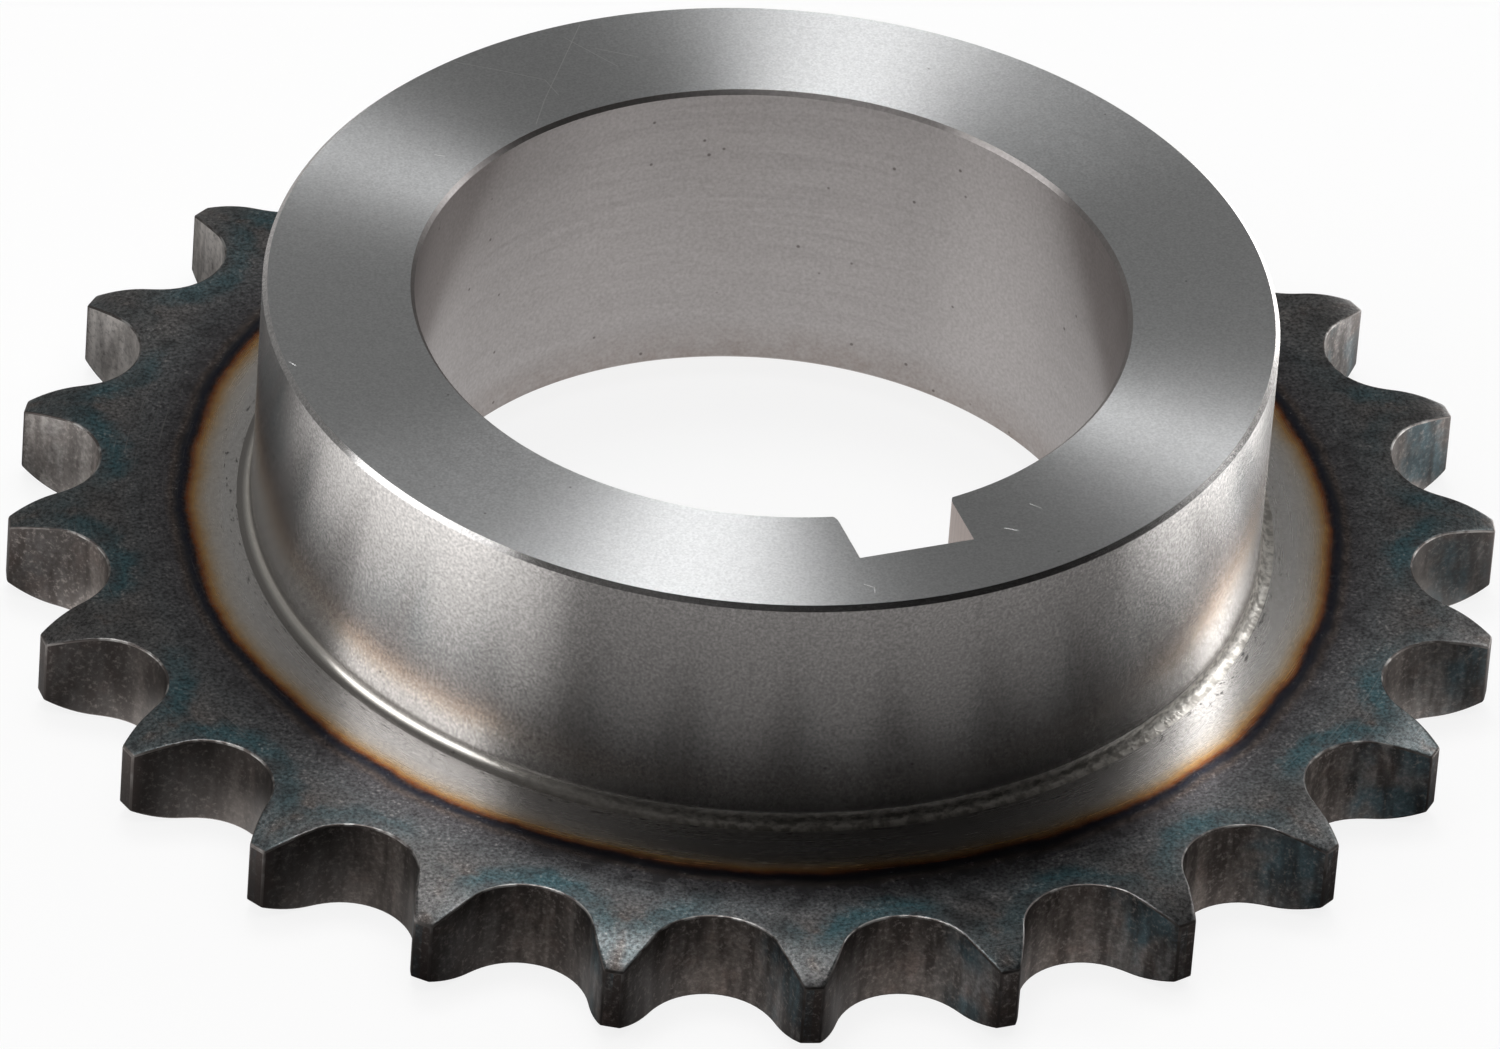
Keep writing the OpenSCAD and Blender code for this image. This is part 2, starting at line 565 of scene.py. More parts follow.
# %% Faced steel on the hub's front
HAIR_SCRATCHES = (
    ((-2.7, 41.8), (-5.9, 37.0), (-9.2, 32.1), (-11.0, 29.0)),
    ((-14.8, 39.3), (-11.5, 37.2), (-8.2, 34.9), (-7.8, 32.5)),
    ((-2.5, 38.2), (0.6, 36.1)),
    ((-4.6, 40.4), (-1.5, 35.2)),
)
NICKS = (
    ((-5.9, -39.3), (-5.2, -39.9), (-5.4, -40.6)),
    ((8.0, -35.0), (8.9, -35.6)),
    ((11.2, -32.4), (11.9, -33.2)),
    ((-42.0, 1.9), (-41.6, 1.2)),
    ((-20.8, 26.9), (-20.1, 26.5)),
)
tree, places = start_material("faced", "faced_steel")
rings = ring_noise(tree, places, places["far"], 0.35, 12)
speckle = node(tree, "TexNoise", {"Vector": places["spot"], "Scale": 1 / 0.2, "Detail": 2.0})
patches = node(tree, "TexNoise", {"Vector": places["spot"], "Scale": 1 / 9, "Detail": 3.0})
grey = node(tree, "MapRange", [speckle, *NOISE_SPAN, 0.0, 1.0])
base = node(tree, "Mix", [grey, colour("#c9cacb"), colour("#dfe0e1")], data_type="RGBA")
cut = scratches(tree, places, HAIR_SCRATCHES)
nicked = scratches(tree, places, NICKS)
spots = marks_in(tree, places, 2.6, 0.3, 0.4)
base = node(tree, "Mix", [node(tree, "Math", [cut, 0.6], operation="MULTIPLY"), base, colour("#ffffff")],
            data_type="RGBA")
base = node(tree, "Mix", [nicked, base, colour("#ffffff")], data_type="RGBA")
base = node(tree, "Mix", [node(tree, "Math", [spots, 0.6], operation="MULTIPLY"), base, colour("#6c6a68")],
            data_type="RGBA")
rough = node(tree, "Math", [
    node(tree, "MapRange", [rings, *NOISE_SPAN, 0.33, 0.37]),
    node(tree, "MapRange", [speckle, *NOISE_SPAN, -0.02, 0.02])], operation="ADD")
rough = node(tree, "Math", [rough, node(tree, "MapRange", [patches, *NOISE_SPAN, -0.01, 0.02])], operation="ADD")
relief = node(tree, "Math", [node(tree, "Math", [rings, 0.5], operation="MULTIPLY"), speckle], operation="ADD")
relief = node(tree, "Math", [relief, node(tree, "Math", [nicked, 3.0], operation="MULTIPLY")], operation="SUBTRACT")
finish_material(tree, node(tree, "BsdfPrincipled", {
    "Base Color": base, "Metallic": 1.0, "Roughness": rough, "Anisotropic": ACROSS_GROOVES,
    "Tangent": across_grooves(tree, places),
    "Normal": node(tree, "Bump", {"Strength": 1.0, "Distance": 0.0045 * MM, "Height": relief})}))
print("faced steel:", len(tree.nodes), "nodes")

# %% [markdown]
# The wall of the hub, its chamfer and the small fillet at its foot were turned
# with the same tool, feeding along the axis, so the grooves stack up in height.
# The fillet is rougher than the wall where chips were dragged round in it, at the
# right, and there the whole fillet is painted bright as a broad painted highlight.
# At the left it is clean and darker, with one thin painted highlight line along it.

# %% Turned steel on the hub's wall
# The side where chips were dragged, which is also where the fillet's painted highlight is broad
DRAGGED_AND_HIGHLIT_TO = (cos(radians(-50)), sin(radians(-50)), 0.0)
tree, places = start_material("turned", "turned_steel")
rings = ring_noise(tree, places, places["height"], 0.5, 40)
speckle = node(tree, "TexNoise", {"Vector": places["spot"], "Scale": 1 / 0.25, "Detail": 3.0})
foot = node(tree, "MapRange", [places["height"], (PLATE_T + ROOT_FILLET) / MM, PLATE_T / MM + 0.7, 0.0, 1.0])
dragged = ring_noise(tree, places, places["height"], 0.25, 0.8)
grey = node(tree, "MapRange", [speckle, *NOISE_SPAN, 0.0, 1.0])
base = node(tree, "Mix", [grey, colour("#b3b1b0"), colour("#dedcdb")], data_type="RGBA")
dragged_and_highlit_side = node(tree, "VectorMath", [places["toward"], DRAGGED_AND_HIGHLIT_TO], operation="DOT_PRODUCT").node.outputs["Value"]
dragged_and_highlit_side = node(tree, "MapRange", [dragged_and_highlit_side, -0.1, 0.5, 0.1, 1.0])
torn = node(tree, "Math", [foot, node(tree, "MapRange", [dragged, 0.4, 0.6, 0.0, 1.0])], operation="MULTIPLY")
torn = node(tree, "Math", [torn, dragged_and_highlit_side], operation="MULTIPLY")
# A thin band along the middle of the fillet is painted bright, a painted highlight; at the right the painted highlight
# covers the whole fillet
line = node(tree, "Math", [places["height"], PLATE_T / MM + 0.45], operation="SUBTRACT")
line = node(tree, "MapRange", [node(tree, "Math", [line], operation="ABSOLUTE"), 0.1, 0.4, 1.0, 0.0])
line = node(tree, "Math", [line, dragged_and_highlit_side], operation="MAXIMUM")
foot_steel_with_painted_highlight = node(tree, "Mix", [line, colour("#8b8784"), colour("#eae6df")], data_type="RGBA")
base = node(tree, "Mix", [foot, base, foot_steel_with_painted_highlight], data_type="RGBA")
base = node(tree, "Mix", [node(tree, "Math", [torn, 0.75], operation="MULTIPLY"), base, colour("#8a857f")],
            data_type="RGBA")
low = node(tree, "MapRange", [places["height"], 12.0, 20.0, 0.7, 0.1])
pits = node(tree, "Math", [marks_in(tree, places, 1.9, 0.35, 0.4), low], operation="MULTIPLY")
base = node(tree, "Mix", [pits, base, colour("#55514e")], data_type="RGBA")
rough = node(tree, "Math", [
    node(tree, "MapRange", [rings, *NOISE_SPAN, 0.21, 0.225]),
    node(tree, "MapRange", [speckle, *NOISE_SPAN, -0.01, 0.01])], operation="ADD")
rough = node(tree, "Mix", [foot, rough, node(tree, "MapRange", [dragged_and_highlit_side, 0.1, 1.0, 0.24, 0.34])])
relief = node(tree, "Math", [rings, node(tree, "Math", [torn, 5.0], operation="MULTIPLY")], operation="ADD")
relief = node(tree, "Math", [relief, node(tree, "Math", [speckle, 0.25], operation="MULTIPLY")], operation="ADD")
finish_material(tree, node(tree, "BsdfPrincipled", {
    "Base Color": base, "Metallic": 1.0, "Roughness": rough, "Anisotropic": 0.88,
    "Tangent": across_grooves(tree, places),
    "Normal": node(tree, "Bump", {"Strength": 1.0, "Distance": 0.0016 * MM, "Height": relief})}))
print("turned steel:", len(tree.nodes), "nodes")

# %% [markdown]
# The bore was bored to size: satin steel, small pits, and a warmer, darker brown
# that grows towards the back edge.

# %% Bored steel
tree, places = start_material("bored", "bored_steel")
rings = ring_noise(tree, places, places["height"], 0.4, 16)
speckle = node(tree, "TexNoise", {"Vector": places["spot"], "Scale": 1 / 0.3, "Detail": 3.0})
clouds = node(tree, "TexNoise", {"Vector": places["spot"], "Scale": 1 / 1.6, "Detail": 4.0})
browner_low_in_bore = node(tree, "MapRange", [places["height"], 2.6, 6.5, 0.4, 0.0])
browner_low_in_bore = node(tree, "Math", [browner_low_in_bore, node(tree, "MapRange", [clouds, *NOISE_SPAN, 0.4, 1.0])], operation="MULTIPLY")
grey = node(tree, "MapRange", [speckle, *NOISE_SPAN, 0.0, 1.0])
base = node(tree, "Mix", [grey, colour("#a9a4a2"), colour("#bbb6b5")], data_type="RGBA")
base = node(tree, "Mix", [browner_low_in_bore, base, colour("#7d6757")], data_type="RGBA")
pits = marks_in(tree, places, 2.1, 0.4, 0.5)
base = node(tree, "Mix", [node(tree, "Math", [pits, 0.7], operation="MULTIPLY"), base, colour("#57504c")],
            data_type="RGBA")
relief = node(tree, "Math", [rings, node(tree, "Math", [speckle, 0.4], operation="MULTIPLY")], operation="ADD")
finish_material(tree, node(tree, "BsdfPrincipled", {
    "Base Color": base, "Metallic": 1.0, "Roughness": node(tree, "MapRange", [rings, *NOISE_SPAN, 0.33, 0.37]),
    "Anisotropic": ACROSS_GROOVES, "Tangent": across_grooves(tree, places),
    "Normal": node(tree, "Bump", {"Strength": 1.0, "Distance": 0.003 * MM, "Height": relief})}))
print("bored steel:", len(tree.nodes), "nodes")

# %% [markdown]
# A broach is pushed straight through, so the keyway's marks run along the bore.

# %% Broached steel
BROACH_MARK = 0.35
tree, places = start_material("broached", "broached_steel")
drawn_out = node(tree, "VectorMath", [places["spot"], (1.0, 1.0, 0.04)], operation="MULTIPLY")
marks = node(tree, "TexNoise", {"Vector": drawn_out, "Scale": 1 / BROACH_MARK, "Detail": 3.0})
grey = node(tree, "MapRange", [marks, *NOISE_SPAN, 0.0, 1.0])
base = node(tree, "Mix", [grey, colour("#a2958f"), colour("#c2b6b0")], data_type="RGBA")
finish_material(tree, node(tree, "BsdfPrincipled", {
    "Base Color": base, "Metallic": 1.0, "Roughness": node(tree, "MapRange", [marks, *NOISE_SPAN, 0.38, 0.5]),
    "Normal": node(tree, "Bump", {"Strength": 1.0, "Distance": 0.006 * MM, "Height": marks})}))
print("broached steel:", len(tree.nodes), "nodes")

# %% [markdown]
# The teeth were hardened by heat. Where the steel grew hot an oxide film grew
# with it, and its thickness is a colour: bare steel, straw, brown, a thin line
# of violet and blue, and then the grey scale of the hardened rim. Two distances
# draw all of it. The first is how far a point lies past the tint line, which
# is nearly a circle and wanders a little.

# %% Heat tint past a line
TINT_RADIUS = 48.95
TINT_SHIFT = (0.1, -0.7, 0.0)
TINT_FROM, TINT_SPAN = -4.0, 12.0
HEAT_COLOURS = (
    (-3.4, "#dad7d4"), (-2.2, "#d8d0c6"), (-1.5, "#d0bba0"), (-0.95, "#c4975f"), (-0.5, "#8f5228"),
    (-0.18, "#33201f"), (0.12, "#181c30"), (0.45, "#34363f"), (1.0, "#746964"), (1.6, "#6e6c6f"),
    (4.0, "#76787a"), (6.5, "#7f7d7c"),
)


def past_the_line(tree, places):
    way = node(tree, "VectorMath", [places["toward"], TINT_SHIFT], operation="DOT_PRODUCT").node.outputs["Value"]
    past = node(tree, "Math", [places["far"], TINT_RADIUS], operation="SUBTRACT")
    past = node(tree, "Math", [past, way], operation="SUBTRACT")
    for size, amount in ((22, 0.35), (5, 0.14), (1.2, 0.09)):
        wander = node(tree, "TexNoise", {"Vector": places["spot"], "Scale": 1 / size, "Detail": 2.0})
        wander = node(tree, "MapRange", [wander, *NOISE_SPAN, -amount, amount])
        past = node(tree, "Math", [past, wander], operation="ADD")
    return past


# %% [markdown]
# The second is the distance from the rounded seat of the nearest gap. Heat
# reached the steel from the gaps, so blue haloes lie round the seats, and the
# middle of each tooth is browner.

# %% Distance from the nearest gap
HALO_COLOURS = (
    (0.0, "#78858a"), (0.4, "#667e84"), (1.4, "#557a82"), (2.4, "#5c757b"), (3.0, "#6d7478"), (4.0, "#7b7573"),
)


def gap_places(tree, places):
    """Millimetres out from the nearest gap's seat, and millimetres to the side of that gap's middle."""
    turn = node(tree, "Math", [places["y"], places["x"]], operation="ARCTAN2")
    turn = node(tree, "Math", [turn, HALF_STEP], operation="SUBTRACT")
    turn = node(tree, "Math", [turn, HALF_STEP, -HALF_STEP], operation="WRAP")
    ahead = node(tree, "Math", [places["far"], node(tree, "Math", [turn], operation="COSINE")], operation="MULTIPLY")
    side = node(tree, "Math", [places["far"], node(tree, "Math", [turn], operation="SINE")], operation="MULTIPLY")
    ahead = node(tree, "Math", [ahead, SEAT_X / MM], operation="SUBTRACT")
    reach = node(tree, "VectorMath", [node(tree, "CombineXYZ", [ahead, side, 0.0])], operation="LENGTH")
    return node(tree, "Math", [reach.node.outputs["Value"], SEAT_R / MM], operation="SUBTRACT"), side


# %% Heat-tinted plate
tree, places = start_material("plate", "flame_hardened_plate")
past = past_the_line(tree, places)
from_seat, side = gap_places(tree, places)
heat = node(tree, "MapRange", [past, TINT_FROM, TINT_FROM + TINT_SPAN, 0.0, 1.0])
base = node(tree, "ValToRGB", [heat], stops=[
    ((place - TINT_FROM) / TINT_SPAN, colour(code)) for place, code in HEAT_COLOURS])
grit = node(tree, "TexNoise", {"Vector": places["spot"], "Scale": 1 / 0.32, "Detail": 3.0, "Roughness": 0.7})
mottle = node(tree, "TexNoise", {"Vector": places["spot"], "Scale": 1 / 1.8, "Detail": 4.0})
clouds = node(tree, "TexNoise", {"Vector": places["spot"], "Scale": 1 / 13, "Detail": 2.0})
scaled = node(tree, "MapRange", [past, -0.4, 0.8, 0.0, 1.0])
near_gap = node(tree, "Math", [from_seat, node(tree, "MapRange", [mottle, *NOISE_SPAN, -0.7, 0.7])], operation="ADD")
halo = node(tree, "ValToRGB", [node(tree, "MapRange", [near_gap, 0.0, 4.0, 0.0, 1.0])], stops=[
    (place / 4.0, colour(code)) for place, code in HALO_COLOURS])
haloed = node(tree, "MapRange", [near_gap, 1.8, 3.6, 0.95, 0.0])
haloed = node(tree, "Math", [haloed, node(tree, "MapRange", [clouds, 0.4, 0.56, 0.1, 1.0])], operation="MULTIPLY")
haloed = node(tree, "Math", [haloed, node(tree, "MapRange", [places["far"], 57.0, 60.0, 1.0, 0.35])], operation="MULTIPLY")
base = node(tree, "Mix", [haloed, base, halo], data_type="RGBA")
rust = node(tree, "MapRange", [mottle, 0.5, 0.62, 0.0, 0.4])
rust = node(tree, "Math", [rust, node(tree, "MapRange", [places["far"], 55.5, 57.5, 0.0, 1.0])], operation="MULTIPLY")
rust = node(tree, "Math", [rust, node(tree, "MapRange", [from_seat, 1.5, 2.6, 0.0, 1.0])], operation="MULTIPLY")
base = node(tree, "Mix", [rust, base, colour("#6b5443")], data_type="RGBA")
dark = node(tree, "Math", [scaled, node(tree, "MapRange", [mottle, 0.3, 0.5, 0.4, 0.0])], operation="MULTIPLY")
base = node(tree, "Mix", [dark, base, colour("#434143")], data_type="RGBA")
gritty = node(tree, "Math", [scaled, node(tree, "MapRange", [grit, 0.34, 0.6, 0.75, 0.0])], operation="MULTIPLY")
base = node(tree, "Mix", [gritty, base, colour("#2a2829")], data_type="RGBA")
rings = ring_noise(tree, places, places["far"], 0.16, 8)
hairs = node(tree, "MapRange", [rings, 0.6, 0.72, 0.0, 0.4])
hairs = node(tree, "Math", [hairs, node(tree, "MapRange", [clouds, 0.4, 0.6, 0.0, 1.0])], operation="MULTIPLY")
flecks = node(tree, "MapRange", [grit, 0.58, 0.68, 0.0, 1.0])
scuffed = node(tree, "MapRange", [mottle, 0.5, 0.66, 0.15, 0.9])
flecks = node(tree, "Math", [flecks, scuffed], operation="MULTIPLY")
hairs = node(tree, "Math", [hairs, flecks], operation="MAXIMUM")
hairs = node(tree, "Math", [hairs, scaled], operation="MULTIPLY")
base = node(tree, "Mix", [hairs, base, colour("#a9a5a2")], data_type="RGBA")
torn = ring_noise(tree, places, places["far"], 0.3, 1.0)
pits = node(tree, "MapRange", [places["far"], 44.0, 47.5, 0.62, 0.78])
pits = node(tree, "Math", [torn, pits], operation="SUBTRACT")
pits = node(tree, "MapRange", [pits, -0.03, 0.03, 0.0, 0.8])
bare = node(tree, "Math", [1.0, scaled], operation="SUBTRACT")
base = node(tree, "Mix", [node(tree, "Math", [pits, bare], operation="MULTIPLY"), base, colour("#3b3836")],
            data_type="RGBA")
worn = node(tree, "Math", [bare, node(tree, "MapRange", [grit, 0.3, 0.6, 0.35, 0.0])], operation="MULTIPLY")
base = node(tree, "Mix", [worn, base, colour("#85817e")], data_type="RGBA")
smooth = node(tree, "MapRange", [past, 0.5, 5.0, 0.21, 0.36])
rough = node(tree, "Math", [smooth, node(tree, "MapRange", [mottle, *NOISE_SPAN, -0.03, 0.07])], operation="ADD")
rough = node(tree, "Mix", [scaled, node(tree, "MapRange", [rings, *NOISE_SPAN, 0.25, 0.28]), rough])
relief = node(tree, "Math", [grit, node(tree, "Math", [mottle, 2.0], operation="MULTIPLY")], operation="ADD")
relief = node(tree, "Math", [relief, node(tree, "MapRange", [scaled, 0.0, 1.0, 0.35, 1.0])], operation="MULTIPLY")
finish_material(tree, node(tree, "BsdfPrincipled", {
    "Base Color": base, "Metallic": 1.0, "Roughness": rough,
    "Anisotropic": 0.7, "Tangent": across_grooves(tree, places),
    "Normal": node(tree, "Bump", {"Strength": 1.0, "Distance": 0.009 * MM, "Height": relief})}))
print("heat-tinted plate:", len(tree.nodes), "nodes")

# %% [markdown]
# The teeth were cut before they were hardened, so their walls carry scale too:
# brown and granular in the bottom of a gap, where the heat stayed longest, and
# a cooler grey on the flanks. The narrow lands at the tips are darker.
# Round the wheel, as the camera sees it, the walls are dark at the right and the
# front left and pale at the far left. That is partly uneven scale, thick where dark
# and thin where pale, and partly painted light: a painted highlight at the far left
# and painted shade at the right and the front left. One flank of every gap is
# painted darker too, as painted shade. The cutter left marks that run along the axis.

# %% Scale on the teeth
WALL_COLOURS = (
    (0.0, "#a0968f"), (2.6, "#9c948f"), (4.2, "#a09d9a"), (6.0, "#a6a5a5"), (7.2, "#999795"), (8.2, "#827b77"),
)
# How pale the walls are round the wheel, as the camera sees it: partly uneven scale, partly painted highlight and
# painted shade
SCALE_AND_LIGHT_ROUND = (
    (-180, 0.3), (-150, 0.7), (-120, 1.0), (-103, 0.85), (-90, 0.54), (-75, 0.2), (-60, 0.03), (-42, 0.03),
    (-10, 0.3), (20, 0.44), (60, 0.5), (88, 0.03), (104, 0.1), (121, 0.4), (180, 0.3),
)
CUTTER_MARK = 1.3
WHEEL_RIGHT = radians(-22.08)
tree, places = start_material("teeth", "hardening_scale")
from_seat, side = gap_places(tree, places)
grit = node(tree, "TexNoise", {"Vector": places["spot"], "Scale": 1 / 0.45, "Detail": 4.0, "Roughness": 0.7})
mottle = node(tree, "TexNoise", {"Vector": places["spot"], "Scale": 1 / 2.2, "Detail": 3.0})
clouds = node(tree, "TexNoise", {"Vector": places["spot"], "Scale": 1 / 5, "Detail": 2.0})
across = node(tree, "Math", [side], operation="ABSOLUTE")
across = node(tree, "Math", [across, node(tree, "MapRange", [mottle, *NOISE_SPAN, -0.9, 0.9])], operation="ADD")
base = node(tree, "ValToRGB", [node(tree, "MapRange", [across, 0.0, 8.2, 0.0, 1.0])], stops=[
    (place / 8.2, colour(code)) for place, code in WALL_COLOURS])
pink = node(tree, "MapRange", [mottle, 0.52, 0.66, 0.0, 0.4])
base = node(tree, "Mix", [pink, base, colour("#b39d93")], data_type="RGBA")
bluish = node(tree, "MapRange", [across, 3.6, 5.2, 0.0, 0.8])
bluish = node(tree, "Math", [bluish, node(tree, "MapRange", [side, 0.0, 1.0, 0.0, 1.0])], operation="MULTIPLY")
bluish = node(tree, "Math", [bluish, node(tree, "MapRange", [clouds, 0.42, 0.56, 0.0, 1.0])], operation="MULTIPLY")
base = node(tree, "Mix", [bluish, base, colour("#5f8490")], data_type="RGBA")
to_right = node(tree, "VectorMath", [places["spot"], (cos(WHEEL_RIGHT), sin(WHEEL_RIGHT), 0)], operation="DOT_PRODUCT")
to_front = node(tree, "VectorMath", [places["spot"], (sin(WHEEL_RIGHT), -cos(WHEEL_RIGHT), 0)],
                operation="DOT_PRODUCT")
round_wheel = node(tree, "Math", [to_right.node.outputs["Value"], to_front.node.outputs["Value"]],
                   operation="ARCTAN2")
pale_and_painted_light = node(tree, "ValToRGB", [node(tree, "MapRange", [round_wheel, -pi, pi, 0.0, 1.0])], stops=[
    (0.5 + degrees_on / 360, (share, share, share, 1.0)) for degrees_on, share in SCALE_AND_LIGHT_ROUND])
drawn_out = node(tree, "VectorMath", [places["spot"], (1.0, 1.0, 0.22)], operation="MULTIPLY")
marks = node(tree, "TexNoise", {"Vector": drawn_out, "Scale": 1 / CUTTER_MARK, "Detail": 3.0})
base = node(tree, "Mix", [node(tree, "MapRange", [marks, 0.38, 0.6, 0.7, 0.0]), base, colour("#443d3a")],
            data_type="RGBA")
# One flank of every gap is painted darker, as painted shade
painted_shade_flank = node(tree, "MapRange", [side, -2.0, -4.5, 0.0, 0.6])
base = node(tree, "Mix", [painted_shade_flank, base, colour("#4d4542")], data_type="RGBA")
upper = node(tree, "MapRange", [places["height"], 5.6, 7.6, 0.0, 0.5])
upper = node(tree, "Math", [upper, node(tree, "MapRange", [across, 4.0, 6.5, 1.0, 0.2])], operation="MULTIPLY")
base = node(tree, "Mix", [upper, base, colour("#2e2928")], data_type="RGBA")
base = node(tree, "Mix", [node(tree, "MapRange", [grit, 0.3, 0.56, 0.6, 0.0]), base, colour("#443d3a")],
            data_type="RGBA")
base = node(tree, "Mix", [node(tree, "MapRange", [grit, 0.54, 0.72, 0.0, 0.6]), base, colour("#d0c6c0")],
            data_type="RGBA")
# Near white where the walls are pale: partly scale rubbed off, partly a painted highlight
rubbed_and_painted_highlight = node(tree, "MapRange", [pale_and_painted_light, 0.5, 1.0, 0.0, 1.0])
rubbed_and_painted_highlight = node(tree, "Math", [rubbed_and_painted_highlight, node(tree, "MapRange", [marks, 0.4, 0.6, 0.55, 1.0])], operation="MULTIPLY")
rubbed_and_painted_highlight = node(tree, "Math", [rubbed_and_painted_highlight, node(tree, "MapRange", [grit, 0.3, 0.5, 0.5, 1.0])], operation="MULTIPLY")
base = node(tree, "Mix", [rubbed_and_painted_highlight, base, colour("#f0ece8")], data_type="RGBA")
# Near black where the walls are dark: partly thick scale, partly painted shade
base = node(tree, "Mix", [node(tree, "MapRange", [pale_and_painted_light, 0.0, 0.5, 0.85, 0.0]), base, colour("#1c1918")],
            data_type="RGBA")
land = node(tree, "MapRange", [places["far"], TIP_R / MM - 0.9, TIP_R / MM - 0.1, 0.0, 0.7])
land = node(tree, "Math", [land, node(tree, "MapRange", [grit, 0.4, 0.65, 1.0, 0.3])], operation="MULTIPLY")
base = node(tree, "Mix", [land, base, colour("#4a4240")], data_type="RGBA")
finish_material(tree, node(tree, "BsdfPrincipled", {
    "Base Color": base, "Metallic": 0.85, "Roughness": node(tree, "MapRange", [grit, *NOISE_SPAN, 0.4, 0.55]),
    "Normal": node(tree, "Bump", {"Strength": 1.0, "Distance": 0.016 * MM, "Height": grit})}))
print("hardening scale:", len(tree.nodes), "nodes")

# %% [markdown]
# The scale has rubbed off the broken edges round the front face, which show as
# a fine light line with gaps in it. The edges at the tips kept their scale.

# %% Worn edges
tree, places = start_material("edge", "worn_steel_edge")
wear = node(tree, "TexNoise", {"Vector": places["spot"], "Scale": 1 / 1.4, "Detail": 4.0})
worn = node(tree, "MapRange", [wear, 0.46, 0.62, 0.0, 1.0])
worn = node(tree, "Math", [worn, node(tree, "MapRange", [places["far"], 59.0, 61.5, 1.0, 0.25])],
            operation="MULTIPLY")
front = node(tree, "MapRange", [places["height"], 3.0, 5.0, 0.0, 1.0])
worn = node(tree, "Math", [worn, front], operation="MULTIPLY")
base = node(tree, "Mix", [worn, colour("#5a5553"), colour("#a5a4a2")], data_type="RGBA")
finish_material(tree, node(tree, "BsdfPrincipled", {
    "Base Color": base, "Metallic": 0.95, "Roughness": 0.38}))
print("worn edge:", len(tree.nodes), "nodes")

# %% [markdown]
# The wheel is one piece of metal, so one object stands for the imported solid.

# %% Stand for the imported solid
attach(sprocket, "root")
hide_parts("sprocket")

# %% [markdown]
# The photograph looks down on the wheel from a long way off, so the lens is a
# long one. The camera aims at a point near the bore's axis and leans a little
# to one side, as a hand-held or tilted camera does.

# %% Camera
CAMERA_TURN = radians(-22.08)
CAMERA_ELEVATION = radians(36.76)
CAMERA_LEAN = radians(-4.39)
CAMERA_FAR = 1461 * MM
CAMERA_LENS = 413.4
AIM_HEIGHT = 2.19 * MM
AIM_RIGHT = -0.4 * MM
AIM_UP = 3.75 * MM
turned = Matrix.Rotation(CAMERA_TURN, 3, "Z")
look = turned @ Vector((0, cos(CAMERA_ELEVATION), -sin(CAMERA_ELEVATION)))
right = turned @ Vector((1, 0, 0))
up = right.cross(look)
camera_data = bpy.data.cameras.new("camera")
camera_data.lens = CAMERA_LENS
camera_data.sensor_width = 36
camera_data.clip_end = 100
camera = bpy.data.objects.new("camera", camera_data)
bpy.context.scene.collection.objects.link(camera)
leaned_right = cos(CAMERA_LEAN) * right - sin(CAMERA_LEAN) * up
leaned_up = sin(CAMERA_LEAN) * right + cos(CAMERA_LEAN) * up
aim = Vector((0, 0, AIM_HEIGHT)) + AIM_RIGHT * right + AIM_UP * up
facing = Matrix((leaned_right, leaned_up, -look)).transposed().to_4x4()
camera.matrix_world = Matrix.Translation(aim - CAMERA_FAR * look) @ facing
bpy.context.scene.camera = camera
print("camera at, mm:", [round(c / MM) for c in camera.matrix_world.translation])

# %% [markdown]
# The wheel lies on a plain white floor. The floor shows as white to the camera
# and in the metal, and it still takes a soft shadow, because part of what is
# seen of it is an ordinary lit surface.

# %% Floor
FLOOR_HALF = 4
SHADOW_SHARE = 0.15
clear_selection()
bpy.ops.mesh.primitive_plane_add(size=2 * FLOOR_HALF, location=(0, 0, 0))
floor = bpy.context.object
floor.name = "floor"
floor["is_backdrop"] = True
floor.data.materials.append(bpy.data.materials.new("white_floor"))
floor.data.materials[0].use_nodes = True
tree = floor.data.materials[0].node_tree
tree.nodes.clear()
rays = node(tree, "LightPath").node.outputs
seen = node(tree, "Math", [rays["Is Camera Ray"], rays["Is Glossy Ray"]], operation="MAXIMUM")
seen = node(tree, "Math", [seen, rays["Is Transmission Ray"]], operation="MAXIMUM")
shown = node(tree, "Math", [seen, 1 - SHADOW_SHARE], operation="MULTIPLY")
lit = node(tree, "BsdfDiffuse", {"Color": colour("#ffffff")})
white = node(tree, "Emission", {"Color": colour("#ffffff"), "Strength": 1.0})
finish_material(tree, node(tree, "MixShader", [shown, lit, white]))
print("floor:", 2 * FLOOR_HALF, "m wide")

# %% [markdown]
# Polished metal shows what stands round it, so the light is mostly large soft
# boxes: one high up, a little behind and to the left, one long one behind to
# the right and a weak one low on the left. Directions are given as the camera
# sees them: 0 degrees is its right and 90 degrees is straight away from it.

# %% Lights
LIGHT_FAR = 1.4


def towards(azimuth, elevation):
    a, e = radians(azimuth), radians(elevation)
    return turned @ Vector((cos(a) * cos(e), sin(a) * cos(e), sin(e)))


def soft_box(name, azimuth, elevation, width, height, watts, lean=0):
    lamp = bpy.data.lights.new(name, "AREA")
    lamp.shape = "RECTANGLE"
    lamp.size, lamp.size_y = width, height
    lamp.energy = watts
    box = bpy.data.objects.new(name, lamp)
    bpy.context.scene.collection.objects.link(box)
    way = towards(azimuth, elevation)
    box.location = way * LIGHT_FAR
    box.rotation_euler = (way.to_track_quat("Z", "Y") @ Quaternion((0, 0, 1), radians(lean))).to_euler()
    return box


soft_box("overhead_box", 103, 71.5, 0.33, 0.38, 4.1)
soft_box("right_back_box", 46, 38, 0.9, 0.2, 2.2, lean=30)
soft_box("right_low_box", 36, 33, 0.9, 0.5, 1.0)
soft_box("left_box", 193, 33, 0.9, 0.5, 4.2)
fill = soft_box("fill_box", 0, 90, 1.6, 1.6, 10)
fill.visible_glossy = False

